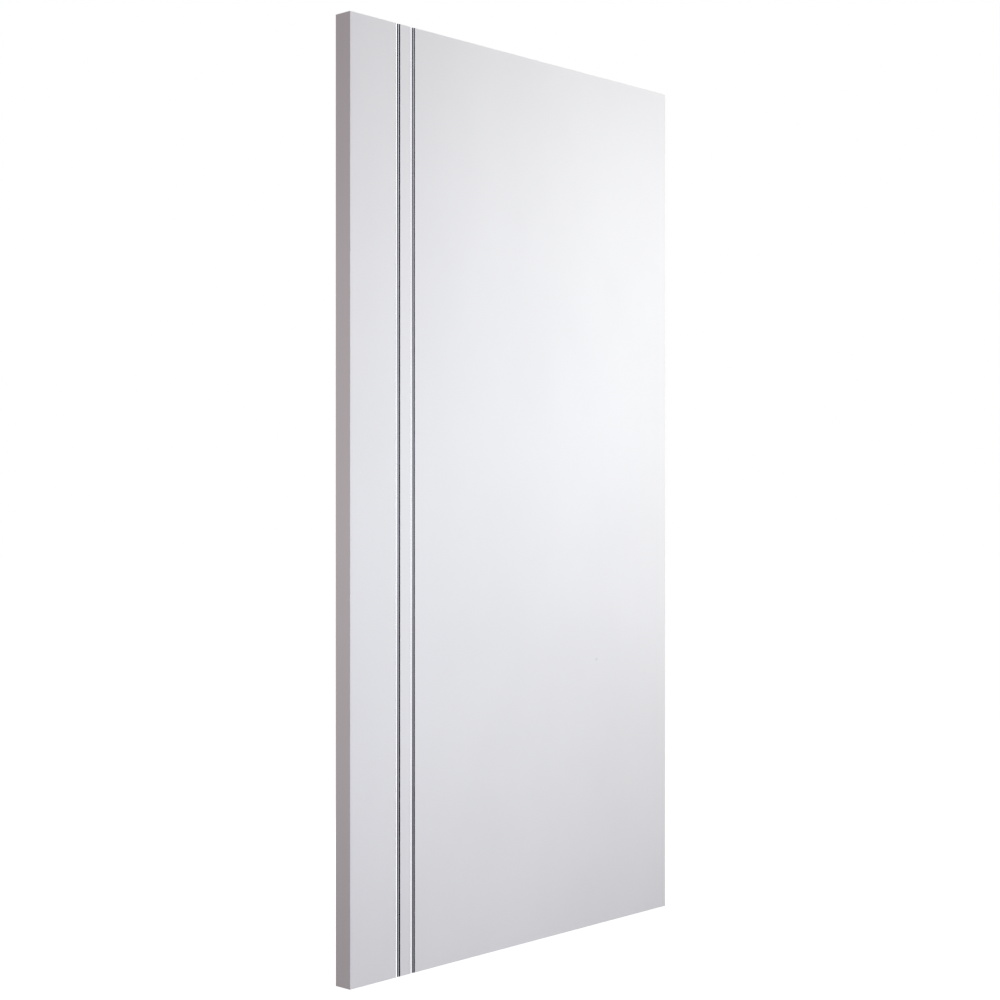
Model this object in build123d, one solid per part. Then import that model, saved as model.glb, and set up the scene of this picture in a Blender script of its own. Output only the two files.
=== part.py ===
from build123d import *
import os

# Flush interior door leaf, solid core, with two full-height metal inlay lines
# near the hinge edge on each face.
# Frame: millimetres, +Z up, +X from the hinge edge to the lock edge,
# front face toward -Y. Origin: bottom end of the hinge edge, mid-thickness.

# Leaf (3 ft 6 in x 6 ft 8 in x 1 3/4 in)
WIDTH = 1066.8
HEIGHT = 2032.0
THICK = 44.45

# Timber lippings along both long edges, full thickness
LIPPING = 8.0
ARRIS = 0.5  # radius worked on the four long outer edges

# Face boards
SKIN = 6.0

# Inner framing
STILE = 32.0
RAIL = 40.0

# Inlay lines: distance of each centre line from the hinge edge
INLAY_OUTER_X = 137.65
INLAY_INNER_X = 181.45
GROOVE_W = 13.9
GROOVE_D = 2.8
GROOVE_LIP = 0.25  # radius of the groove's softened lips
STRIP_LAND = 0.4  # narrow flat along each side of the strip
STRIP_RECESS = 0.15  # the flats lie this far below the face
STRIP_DISH = 1.45  # depth of the hollow between the flats

half = THICK / 2.0
core_half = half - SKIN


def span(x0, x1, y0, y1, z0, z1):
    """Solid box between two corners."""
    return Pos((x0 + x1) / 2.0, (y0 + y1) / 2.0, (z0 + z1) / 2.0) * Box(
        x1 - x0, y1 - y0, z1 - z0
    )


def long_edges(body, hit):
    """Upright edges of a body whose centre passes the test hit(x, y)."""
    return [
        e
        for e in body.edges().filter_by(Axis.Z)
        if hit(e.center().X, e.center().Y)
    ]


def lipping(x_in, x_out):
    """Full-thickness edge strip with its two outer long edges rounded."""
    body = span(min(x_in, x_out), max(x_in, x_out), -half, half, 0.0, HEIGHT)
    return fillet(long_edges(body, lambda x, y: abs(x - x_out) < 0.01), ARRIS)


def face_board():
    """Front face board with two grooves, their lips softened."""
    y0 = -half
    yg = -half + GROOVE_D
    walls = []
    pts = [(LIPPING, y0)]
    for c in (INLAY_OUTER_X, INLAY_INNER_X):
        a = c - GROOVE_W / 2.0
        b = c + GROOVE_W / 2.0
        walls += [a, b]
        pts += [(a, y0), (a, yg), (b, yg), (b, y0)]
    pts += [
        (WIDTH - LIPPING, y0),
        (WIDTH - LIPPING, -core_half),
        (LIPPING, -core_half),
    ]
    with BuildPart() as bp:
        with BuildSketch(Plane.XY):
            with BuildLine():
                Polyline(*pts, close=True)
            make_face()
        extrude(amount=HEIGHT)
    lips = long_edges(
        bp.part,
        lambda x, y: abs(y - y0) < 0.01 and min(abs(x - w) for w in walls) < 0.01,
    )
    return fillet(lips, GROOVE_LIP)


def inlay_strip(c):
    """Metal strip filling a front groove, its face hollowed to a shallow arc."""
    yb = -half + GROOVE_D
    yt = -half + STRIP_RECESS
    w = GROOVE_W / 2.0
    a = w - STRIP_LAND
    with BuildPart() as bp:
        with BuildSketch(Plane.XY):
            with BuildLine():
                Polyline(
                    (c + a, yt),
                    (c + w, yt),
                    (c + w, yb),
                    (c - w, yb),
                    (c - w, yt),
                    (c - a, yt),
                )
                ThreePointArc((c - a, yt), (c, yt + STRIP_DISH), (c + a, yt))
            make_face()
        extrude(amount=HEIGHT)
    return bp.part


front_skin = face_board()
front_inlay_outer = inlay_strip(INLAY_OUTER_X)
front_inlay_inner = inlay_strip(INLAY_INNER_X)

stile_in = LIPPING + STILE

parts = {
    "front_skin": front_skin,
    "back_skin": mirror(front_skin, about=Plane.XZ),
    "hinge_edge_lipping": lipping(LIPPING, 0.0),
    "lock_edge_lipping": lipping(WIDTH - LIPPING, WIDTH),
    "hinge_stile": span(LIPPING, stile_in, -core_half, core_half, 0.0, HEIGHT),
    "lock_stile": span(
        WIDTH - stile_in, WIDTH - LIPPING, -core_half, core_half, 0.0, HEIGHT
    ),
    "top_rail": span(
        stile_in, WIDTH - stile_in, -core_half, core_half, HEIGHT - RAIL, HEIGHT
    ),
    "bottom_rail": span(
        stile_in, WIDTH - stile_in, -core_half, core_half, 0.0, RAIL
    ),
    "solid_core": span(
        stile_in, WIDTH - stile_in, -core_half, core_half, RAIL, HEIGHT - RAIL
    ),
    "front_inlay_outer": front_inlay_outer,
    "front_inlay_inner": front_inlay_inner,
    "back_inlay_outer": mirror(front_inlay_outer, about=Plane.XZ),
    "back_inlay_inner": mirror(front_inlay_inner, about=Plane.XZ),
}

os.makedirs("parts", exist_ok=True)
for name, shape in parts.items():
    export_step(shape, "parts/" + name + ".step")
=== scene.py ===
import math

import bpy
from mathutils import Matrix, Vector


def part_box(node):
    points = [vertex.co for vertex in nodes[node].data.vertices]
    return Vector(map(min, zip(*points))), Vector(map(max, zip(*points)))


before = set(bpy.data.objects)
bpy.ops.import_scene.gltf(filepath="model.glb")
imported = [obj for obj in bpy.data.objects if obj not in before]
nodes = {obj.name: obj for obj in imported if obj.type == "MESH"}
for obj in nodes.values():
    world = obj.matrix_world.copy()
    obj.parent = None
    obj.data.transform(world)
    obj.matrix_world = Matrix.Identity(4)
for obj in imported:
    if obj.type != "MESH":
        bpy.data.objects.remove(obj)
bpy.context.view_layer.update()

W, H, T = 1.0668, 2.032, 0.04445  # leaf: width, height, thickness
HALF = T / 2.0

scene = bpy.context.scene


# ---------------------------------------------------------------- node helper
class Net:
    """Short names for building a material's node network."""

    def __init__(self, name):
        self.mat = bpy.data.materials.new(name)
        self.mat.use_nodes = True
        self.t = self.mat.node_tree
        self.t.nodes.clear()
        self.out = self.t.nodes.new("ShaderNodeOutputMaterial")
        self.bsdf = self.t.nodes.new("ShaderNodeBsdfPrincipled")
        self.t.links.new(self.bsdf.outputs["BSDF"], self.out.inputs["Surface"])
        self.tc = self.t.nodes.new("ShaderNodeTexCoord")
        sp = self.t.nodes.new("ShaderNodeSeparateXYZ")
        self.t.links.new(self.tc.outputs["Object"], sp.inputs[0])
        self.x, self.y, self.z = sp.outputs[0], sp.outputs[1], sp.outputs[2]
        sn = self.t.nodes.new("ShaderNodeSeparateXYZ")
        self.t.links.new(self.tc.outputs["Normal"], sn.inputs[0])
        self.nx, self.ny, self.nz = sn.outputs[0], sn.outputs[1], sn.outputs[2]

    def put(self, sock, value):
        if isinstance(value, bpy.types.NodeSocket):
            self.t.links.new(value, sock)
        elif isinstance(value, (tuple, list)) and len(value) == 3 and sock.type == "RGBA":
            sock.default_value = (*value, 1.0)
        else:
            sock.default_value = value

    def m(self, op, a, b=None, c=None, clamp=False):
        n = self.t.nodes.new("ShaderNodeMath")
        n.operation = op
        n.use_clamp = clamp
        self.put(n.inputs[0], a)
        if b is not None:
            self.put(n.inputs[1], b)
        if c is not None:
            self.put(n.inputs[2], c)
        return n.outputs[0]

    def ramp(self, v, a, b, lo=0.0, hi=1.0, smooth=True):
        """Maps v from a..b to lo..hi and holds it outside."""
        n = self.t.nodes.new("ShaderNodeMapRange")
        n.interpolation_type = "SMOOTHSTEP" if smooth else "LINEAR"
        n.clamp = True
        self.put(n.inputs["Value"], v)
        n.inputs["From Min"].default_value = a
        n.inputs["From Max"].default_value = b
        n.inputs["To Min"].default_value = lo
        n.inputs["To Max"].default_value = hi
        return n.outputs["Result"]

    def mix(self, fac, a, b, mode="MIX"):
        n = self.t.nodes.new("ShaderNodeMix")
        n.data_type = "RGBA"
        n.blend_type = mode
        n.clamp_factor = True
        self.put(n.inputs["Factor"], fac)
        self.put(n.inputs[6], a)
        self.put(n.inputs[7], b)
        return n.outputs[2]

    def scaled(self, sx, sy, sz, shift=(0.0, 0.0, 0.0)):
        """Object coordinates stretched along each axis."""
        n = self.t.nodes.new("ShaderNodeMapping")
        self.t.links.new(self.tc.outputs["Object"], n.inputs["Vector"])
        n.inputs["Location"].default_value = shift
        n.inputs["Scale"].default_value = (sx, sy, sz)
        return n.outputs["Vector"]

    def noise(self, vec, scale=1.0, detail=2.0, rough=0.5, distort=0.0):
        n = self.t.nodes.new("ShaderNodeTexNoise")
        n.noise_dimensions = "3D"
        self.put(n.inputs["Vector"], vec)
        n.inputs["Scale"].default_value = scale
        n.inputs["Detail"].default_value = detail
        n.inputs["Roughness"].default_value = rough
        n.inputs["Distortion"].default_value = distort
        return n.outputs["Fac"]

    def grey(self, v):
        n = self.t.nodes.new("ShaderNodeCombineColor")
        for i in range(3):
            self.put(n.inputs[i], v)
        return n.outputs[0]

    def bump(self, height, distance, strength=1.0, normal=None):
        n = self.t.nodes.new("ShaderNodeBump")
        n.inputs["Strength"].default_value = strength
        n.inputs["Distance"].default_value = distance
        self.put(n.inputs["Height"], height)
        if normal is not None:
            self.put(n.inputs["Normal"], normal)
        return n.outputs["Normal"]

    def finish(self, color, rough, normal, **fixed):
        self.put(self.bsdf.inputs["Base Color"], color)
        self.put(self.bsdf.inputs["Roughness"], rough)
        if normal is not None:
            self.put(self.bsdf.inputs["Normal"], normal)
        for k, v in fixed.items():
            self.bsdf.inputs[k.replace("_", " ")].default_value = v
        return self.mat


PAINT = (0.855, 0.858, 0.868)


def mottle(n, base, amount_low=0.012, amount_fine=0.008):
    """Slow and fine tone changes of a sprayed and rolled paint film."""
    low = n.noise(n.scaled(3.1, 3.1, 2.3), 1.0, 3.0, 0.55)
    fine = n.noise(n.scaled(1.0, 1.0, 1.0), 620.0, 2.0, 0.6)
    f = n.m("ADD", n.ramp(low, 0.3, 0.7, 1.0 - amount_low, 1.0 + amount_low),
            n.ramp(fine, 0.3, 0.7, -amount_fine, amount_fine))
    return n.mix(1.0, base, n.grey(f), "MULTIPLY"), low, fine


def end_cut(n, kind):
    """Tone and relief of the sealed top and bottom ends of a piece."""
    if kind == "fibre":  # fine fibres of the face board
        a = n.noise(n.scaled(1.0, 1.0, 1.0), 1400.0, 3.0, 0.7)
        b = n.noise(n.scaled(18.0, 900.0, 40.0), 1.0, 2.0, 0.5)
        tone = n.m("ADD", n.ramp(a, 0.3, 0.7, -0.05, 0.05), n.ramp(b, 0.3, 0.7, -0.03, 0.03))
        relief = n.m("MULTIPLY", a, 0.6)
    elif kind == "rings":  # growth rings across a timber's end
        w = n.t.nodes.new("ShaderNodeTexWave")
        w.wave_type = "RINGS"
        w.rings_direction = "Z"
        w.wave_profile = "SAW"
        n.t.links.new(n.scaled(1.0, 1.0, 0.0, (-0.05, 0.06, 0.0)), w.inputs["Vector"])
        w.inputs["Scale"].default_value = 62.0
        w.inputs["Distortion"].default_value = 1.6
        w.inputs["Detail"].default_value = 2.0
        w.inputs["Detail Scale"].default_value = 18.0
        pores = n.noise(n.scaled(1.0, 1.0, 1.0), 2200.0, 2.0, 0.6)
        tone = n.m("ADD", n.ramp(w.outputs["Fac"], 0.0, 1.0, 0.035, -0.05, False),
                   n.ramp(pores, 0.35, 0.7, 0.03, -0.05))
        relief = n.m("ADD", n.m("MULTIPLY", w.outputs["Fac"], 0.5), n.m("MULTIPLY", pores, 0.5))
    else:  # long grain along the rail
        a = n.noise(n.scaled(6.0, 420.0, 30.0), 1.0, 4.0, 0.6, 0.6)
        b = n.noise(n.scaled(40.0, 2600.0, 60.0), 1.0, 2.0, 0.5)
        tone = n.m("ADD", n.ramp(a, 0.3, 0.7, -0.05, 0.045), n.ramp(b, 0.3, 0.7, -0.02, 0.02))
        relief = n.m("ADD", n.m("MULTIPLY", a, 0.7), n.m("MULTIPLY", b, 0.3))
    return tone, relief


def joint_line(n, x0, x1, y0, y1):
    """1 on the hairline round a piece's end, 0 inside it."""
    dx = n.m("MINIMUM", n.m("SUBTRACT", n.x, x0), n.m("SUBTRACT", x1, n.x))
    dy = n.m("MINIMUM", n.m("SUBTRACT", n.y, y0), n.m("SUBTRACT", y1, n.y))
    d = n.m("MINIMUM", dx, dy)
    wob = n.ramp(n.noise(n.scaled(1, 1, 1), 260.0, 2.0), 0.3, 0.7, -0.00012, 0.00012)
    return n.ramp(n.m("ADD", d, wob), 0.0001, 0.0005, 1.0, 0.0)


def painted(name, node, end_kind):
    """Satin white paint on a face board or lipping; its ends are thinly sealed."""
    n = Net(name)
    lo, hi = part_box(node)
    skin = "skin" in node
    base, low, fine = mottle(n, PAINT)

    # film texture: roller stipple on the faces, brushed length on the edges
    stipple = n.noise(n.scaled(1.0, 1.0, 1.0), 430.0, 3.0, 0.55)
    if skin:
        lay = n.noise(n.scaled(9.0, 9.0, 0.9), 1.0, 2.0, 0.5)
    else:
        lay = n.noise(n.scaled(420.0, 420.0, 5.0), 1.0, 3.0, 0.6)
    wave = n.noise(n.scaled(2.2, 2.2, 1.4, (3.0, 1.0, 7.0)), 1.0, 1.0, 0.4)

    # wear: the film is thinner and a little warmer on the long arrises
    ax = n.m("MINIMUM", n.x, n.m("SUBTRACT", W, n.x))
    ay = n.m("SUBTRACT", HALF, n.m("ABSOLUTE", n.y))
    arris = n.ramp(n.m("MAXIMUM", ax, ay), 0.0006, 0.0021, 1.0, 0.0)
    broken = n.ramp(n.noise(n.scaled(60.0, 60.0, 14.0), 1.0, 4.0, 0.65), 0.36, 0.66)
    worn = n.m("MULTIPLY", arris, n.m("MULTIPLY_ADD", broken, 0.75, 0.25))
    color = n.mix(n.m("MULTIPLY", worn, 0.55), base, (0.66, 0.645, 0.625))

    # short rubs where the leaf is handled and stood down
    rub = n.ramp(n.noise(n.scaled(38.0, 38.0, 150.0, (2.0, 5.0, 1.0)), 1.0, 3.0, 0.6, 1.2), 0.66, 0.74)
    rub_zone = n.m("MULTIPLY", n.ramp(n.z, 0.02, 0.16, 1.0, 0.0), rub)
    color = n.mix(n.m("MULTIPLY", rub_zone, 0.10), color, (0.55, 0.54, 0.53))

    relief = n.m("ADD", n.m("MULTIPLY", stipple, 1.0), n.m("MULTIPLY", lay, 0.8 if skin else 1.3))
    rough = n.m("ADD", n.ramp(stipple, 0.3, 0.7, 0.40, 0.48), n.m("MULTIPLY", worn, 0.12))

    if skin:
        # a small faint mark on the wide panel
        cx, cz = 0.798, 0.635
        d = n.m("SQRT", n.m("ADD", n.m("POWER", n.m("SUBTRACT", n.x, cx), 2.0),
                            n.m("POWER", n.m("MULTIPLY", n.m("SUBTRACT", n.z, cz), 1.25), 2.0)))
        spot = n.ramp(d, 0.0016, 0.0068, 1.0, 0.0)
        if node == "front_skin":
            color = n.mix(n.m("MULTIPLY", spot, 0.22), color, (0.42, 0.41, 0.41))
        # painted shade: the groove walls below the painted lips are coloured near black for the shade inside the
        # grooves, and made rougher
        painted_groove_shade = n.ramp(ay, 0.0002, 0.0004)
        color = n.mix(painted_groove_shade, color, (0.022, 0.023, 0.026))
        rough = n.m("ADD", rough, n.m("MULTIPLY", painted_groove_shade, 0.3))

    normal = n.bump(wave, 0.0006, 0.35)
    normal = n.bump(relief, 0.00006, 0.5, normal)

    # ends
    tone, cut = end_cut(n, end_kind)
    is_end = n.m("GREATER_THAN", n.m("ABSOLUTE", n.nz), 0.5)
    line = joint_line(n, lo.x, hi.x, lo.y, hi.y)
    end_col = n.mix(1.0, (0.80, 0.785, 0.75), n.grey(n.m("ADD", tone, 1.0)), "MULTIPLY")
    end_col = n.mix(n.m("MULTIPLY", line, 0.45), end_col, (0.42, 0.38, 0.33))
    color = n.mix(is_end, color, end_col)
    rough = n.m("ADD", n.m("MULTIPLY", rough, n.m("SUBTRACT", 1.0, is_end)), n.m("MULTIPLY", is_end, 0.62))
    end_normal = n.bump(cut, 0.00018, 0.6)
    v = n.t.nodes.new("ShaderNodeMix")
    v.data_type = "VECTOR"
    n.put(v.inputs[0], is_end)
    n.put(v.inputs[4], normal)
    n.put(v.inputs[5], end_normal)
    return n.finish(color, rough, v.outputs[1], Specular_IOR_Level=0.45, IOR=1.47)


def sealed_timber(name, node, kind):
    """Framing timber: thin white sealer on the ends and edges, grain showing through."""
    n = Net(name)
    lo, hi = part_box(node)
    tone, cut = end_cut(n, kind)
    blotch = n.noise(n.scaled(14.0, 30.0, 30.0), 1.0, 3.0, 0.6)
    base = n.mix(n.ramp(blotch, 0.3, 0.7), (0.80, 0.785, 0.75), (0.765, 0.745, 0.70))
    color = n.mix(1.0, base, n.grey(n.m("ADD", tone, 1.0)), "MULTIPLY")
    line = joint_line(n, lo.x, hi.x, lo.y, hi.y)
    color = n.mix(n.m("MULTIPLY", line, 0.45), color, (0.42, 0.38, 0.33))
    rough = n.ramp(blotch, 0.3, 0.7, 0.56, 0.68)
    return n.finish(color, rough, n.bump(cut, 0.00018, 0.6), Specular_IOR_Level=0.4)


def core_board(name):
    """Chip-filled board; closed in on all sides."""
    n = Net(name)
    v = n.t.nodes.new("ShaderNodeTexVoronoi")
    n.t.links.new(n.scaled(260.0, 420.0, 160.0), v.inputs["Vector"])
    v.inputs["Scale"].default_value = 1.0
    chips = n.noise(n.scaled(90.0, 160.0, 60.0), 1.0, 4.0, 0.65)
    color = n.mix(n.ramp(v.outputs["Distance"], 0.0, 0.9), (0.58, 0.44, 0.28), (0.36, 0.26, 0.16))
    color = n.mix(n.ramp(chips, 0.35, 0.65), color, (0.66, 0.52, 0.35))
    return n.finish(color, 0.8, n.bump(v.outputs["Distance"], 0.0005, 0.5))


def inlay_metal(name, node, seed):
    """Polished metal drawn along its length: fine lines, slow tone drift, dull patches."""
    n = Net(name)
    lines = n.noise(n.scaled(3600.0, 3600.0, 9.0, (seed, 0.0, 0.0)), 1.0, 3.0, 0.6)
    coarse = n.noise(n.scaled(1100.0, 1100.0, 4.0, (0.0, seed, 0.0)), 1.0, 2.0, 0.5)
    drift = n.noise(n.scaled(1.0, 1.0, 1.0, (seed, seed, 0.0)), 5.0, 2.0, 0.5)
    dull = n.ramp(n.noise(n.scaled(150.0, 150.0, 30.0, (seed, 1.0, 2.0)), 1.0, 4.0, 0.65), 0.56, 0.76)
    f = n.m("ADD", n.ramp(lines, 0.3, 0.7, 0.96, 1.03), n.ramp(drift, 0.3, 0.7, -0.025, 0.025))
    color = n.mix(1.0, (0.735, 0.742, 0.785), n.grey(f), "MULTIPLY")
    color = n.mix(n.m("MULTIPLY", dull, 0.30), color, (0.56, 0.56, 0.585))
    # the flats along both sides are worn duller than the hollow
    ay = n.m("SUBTRACT", HALF, n.m("ABSOLUTE", n.y))
    land = n.ramp(ay, 0.00017, 0.00030, 1.0, 0.0)
    color = n.mix(n.m("MULTIPLY", land, 0.35), color, (0.50, 0.50, 0.51))
    rough = n.m("ADD", n.ramp(coarse, 0.3, 0.7, 0.05, 0.09),
                n.m("ADD", n.m("MULTIPLY", land, 0.12), n.m("MULTIPLY", dull, 0.08)))
    relief = n.m("ADD", n.m("MULTIPLY", lines, 0.6), n.m("MULTIPLY", coarse, 0.6))
    return n.finish(color, rough, n.bump(relief, 0.000002, 0.3), Metallic=1.0, IOR=1.5)


def dress(node, mat):
    o = nodes[node]
    o.data.materials.clear()
    o.data.materials.append(mat)


dress("front_skin", painted("front_face_paint", "front_skin", "fibre"))
dress("back_skin", painted("back_face_paint", "back_skin", "fibre"))
dress("hinge_edge_lipping", painted("hinge_edge_paint", "hinge_edge_lipping", "rings"))
dress("lock_edge_lipping", painted("lock_edge_paint", "lock_edge_lipping", "rings"))
dress("hinge_stile", sealed_timber("hinge_stile_timber", "hinge_stile", "rings"))
dress("lock_stile", sealed_timber("lock_stile_timber", "lock_stile", "rings"))
dress("top_rail", sealed_timber("top_rail_timber", "top_rail", "long"))
dress("bottom_rail", sealed_timber("bottom_rail_timber", "bottom_rail", "long"))
dress("solid_core", core_board("core_board"))
for i, name in enumerate(("front_inlay_outer", "front_inlay_inner", "back_inlay_outer", "back_inlay_inner")):
    dress(name, inlay_metal(name + "_metal", name, 3.7 * i + 1.3))

# ---------------------------------------------------------------- camera
cam_data = bpy.data.cameras.new("camera")
cam_data.sensor_width = 36.0
cam_data.sensor_fit = "HORIZONTAL"
cam_data.lens = 65.548
cam_data.clip_start, cam_data.clip_end = 0.05, 200.0
cam = bpy.data.objects.new("camera", cam_data)
scene.collection.objects.link(cam)
THETA = math.radians(47.195)
right = Vector((math.cos(THETA), -math.sin(THETA), 0.0))
ahead = Vector((math.sin(THETA), math.cos(THETA), 0.0))
near = Vector((0.0, -HALF, H / 2.0 + 0.00066))
cam.location = near + 0.31116 * right - 3.7788 * ahead
cam.rotation_euler = (math.pi / 2.0, 0.0, -THETA)
scene.camera = cam

# ---------------------------------------------------------------- floor
disc = bpy.data.meshes.new("floor")
ring = [(30.0 * math.cos(2 * math.pi * i / 128), 30.0 * math.sin(2 * math.pi * i / 128), -0.0006) for i in range(128)]
disc.from_pydata(ring, [], [tuple(range(128))])
floor = bpy.data.objects.new("floor", disc)
scene.collection.objects.link(floor)
fm = bpy.data.materials.new("pale_floor")
fm.use_nodes = True
ft = fm.node_tree
ft.nodes.clear()
fo = ft.nodes.new("ShaderNodeOutputMaterial")
fa = ft.nodes.new("ShaderNodeAddShader")
fe = ft.nodes.new("ShaderNodeEmission")
fe.inputs["Color"].default_value = (1.0, 1.0, 1.0, 1.0)
fe.inputs["Strength"].default_value = 0.95
fd = ft.nodes.new("ShaderNodeBsdfDiffuse")
fd.inputs["Color"].default_value = (0.32, 0.32, 0.32, 1.0)
ft.links.new(fe.outputs[0], fa.inputs[0])
ft.links.new(fd.outputs[0], fa.inputs[1])
ft.links.new(fa.outputs[0], fo.inputs["Surface"])
disc.materials.append(fm)
floor.visible_diffuse = False
floor.visible_glossy = False
floor.visible_shadow = False


# ---------------------------------------------------------------- light
def softbox(name, place, target, width, height, radiance, tint=(1.0, 1.0, 1.0)):
    """A plain rectangular soft light; its power follows from its radiance."""
    d = bpy.data.lights.new(name, "AREA")
    d.shape = "RECTANGLE"
    d.size, d.size_y = width, height
    d.energy = radiance * math.pi * width * height
    d.color = tint
    o = bpy.data.objects.new(name, d)
    scene.collection.objects.link(o)
    o.location = place
    o.rotation_euler = (Vector(target) - Vector(place)).to_track_quat("-Z", "Y").to_euler()
    o.visible_camera = False
    o.visible_glossy = False  # polished surfaces mirror the world's room instead


softbox("front_key", (1.4, -1.5, 1.6), (0.8, 0.0, 1.5), 1.6, 1.6, 2.78, (0.99, 1.018, 0.99))
softbox("front_low", (-0.2, -2.0, 0.7), (0.3, 0.0, 0.7), 1.0, 1.0, 5.2, (0.93, 1.0, 1.07))
softbox("left_side", (-1.3, 0.2, 1.08), (0.0, 0.2, 1.08), 0.8, 1.2, 1.22, (1.10, 0.99, 0.91))
softbox("back_key", (1.4, 1.5, 1.6), (0.8, 0.0, 1.5), 1.6, 1.6, 2.0, (0.99, 1.018, 0.99))
softbox("back_low", (0.45, 2.0, 0.75), (0.45, 0.0, 0.75), 0.8, 1.2, 4.7, (0.93, 1.0, 1.07))
softbox("overhead", (0.53, 0.5, 4.4), (0.53, 0.5, 0.0), 1.5, 0.9, 6.0)

world = bpy.data.worlds.new("studio")
scene.world = world
world.use_nodes = True
world.cycles.sampling_method = "NONE"
wt = world.node_tree
wt.nodes.clear()


def wnode(kind, **fixed):
    n = wt.nodes.new(kind)
    for k, v in fixed.items():
        n.inputs[k].default_value = v
    return n


wo = wnode("ShaderNodeOutputWorld")
wl = wnode("ShaderNodeLightPath")
# What polished surfaces mirror, alike on the front and the back: a white wall to the
# right, brightest at its near edge, and a dark room in front of the face with a narrow
# strip lamp in it that is bright high up and weak low down.
wc = wnode("ShaderNodeTexCoord")
ws = wnode("ShaderNodeSeparateXYZ")
wt.links.new(wc.outputs["Generated"], ws.inputs[0])


def wmath(op, x, y=None):
    n = wt.nodes.new("ShaderNodeMath")
    n.operation = op
    for i, v in enumerate((x, y)):
        if isinstance(v, bpy.types.NodeSocket):
            wt.links.new(v, n.inputs[i])
        elif v is not None:
            n.inputs[i].default_value = v
    return n.outputs[0]


def wblend(fac, x, y):
    n = wt.nodes.new("ShaderNodeMix")
    n.data_type = "RGBA"
    wt.links.new(fac, n.inputs[0])
    wt.links.new(x, n.inputs[6])
    wt.links.new(y, n.inputs[7])
    return n.outputs[2]


turn = wmath("DIVIDE", wmath("ABSOLUTE", wmath("ARCTAN2", ws.outputs[1], ws.outputs[0])), math.pi)


def around(*stops):
    """Brightness round the horizon: (degrees from +X, level) stops."""
    n = wt.nodes.new("ShaderNodeValToRGB")
    n.color_ramp.interpolation = "LINEAR"
    e = n.color_ramp.elements
    while len(e) < len(stops):
        e.new(0.5)
    for i, (deg, v) in enumerate(stops):
        e[i].position = deg / 180.0
        e[i].color = (1.01 * v, v, 0.99 * v, 1.0) if deg < 39 else (0.97 * v, 0.978 * v, 1.052 * v, 1.0)
    wt.links.new(turn, n.inputs[0])
    return n.outputs[0]


def slope(lo, hi):
    n = wt.nodes.new("ShaderNodeMapRange")
    n.interpolation_type = "LINEAR"
    wt.links.new(ws.outputs[2], n.inputs["Value"])
    n.inputs["From Min"].default_value, n.inputs["From Max"].default_value = lo, hi
    return n.outputs["Result"]


high = around((0, 1.8), (10, 1.4), (18, 1.3), (24, 2.7), (30, 3.0), (36, 0.0), (64, 0.12), (69, 2.48),
              (75, 0.0), (112, 0.03), (135, 0.35), (180, 0.40))
middle = around((0, 2.4), (10, 1.9), (18, 1.0), (24, 1.1), (30, 2.2), (36, 3.0), (42, 0.0), (48, 0.0),
                (54, 1.23), (59, 0.59), (64, 0.09), (69, 1.10), (75, 0.43), (82, 0.0), (112, 0.03),
                (135, 0.40), (180, 0.45))
below = around((0, 1.1), (10, 1.4), (18, 1.95), (24, 2.25), (30, 2.07), (36, 0.97), (42, 0.0), (59, 0.05),
               (64, 1.15), (69, 0.75), (75, 0.0), (112, 0.04), (135, 0.30), (180, 0.40))
room = wblend(slope(-0.03, -0.17), wblend(slope(0.03, 0.23), middle, high), below)
wg = wnode("ShaderNodeBackground", Strength=0.8)
wt.links.new(room, wg.inputs["Color"])
wd = wnode("ShaderNodeBackground", Color=(1.069, 0.93, 1.0, 1.0), Strength=0.224)
wb = wnode("ShaderNodeBackground", Color=(1.0, 1.0, 1.0, 1.0), Strength=1.0)
w1 = wnode("ShaderNodeMixShader")
w2 = wnode("ShaderNodeMixShader")
wt.links.new(wl.outputs["Is Glossy Ray"], w1.inputs[0])
wt.links.new(wd.outputs[0], w1.inputs[1])
wt.links.new(wg.outputs[0], w1.inputs[2])
wt.links.new(wl.outputs["Is Camera Ray"], w2.inputs[0])
wt.links.new(w1.outputs[0], w2.inputs[1])
wt.links.new(wb.outputs[0], w2.inputs[2])
wt.links.new(w2.outputs[0], wo.inputs["Surface"])

scene.view_settings.view_transform = "Standard"
scene.view_settings.look = "None"
scene.view_settings.exposure = 0.0
scene.view_settings.gamma = 1.0
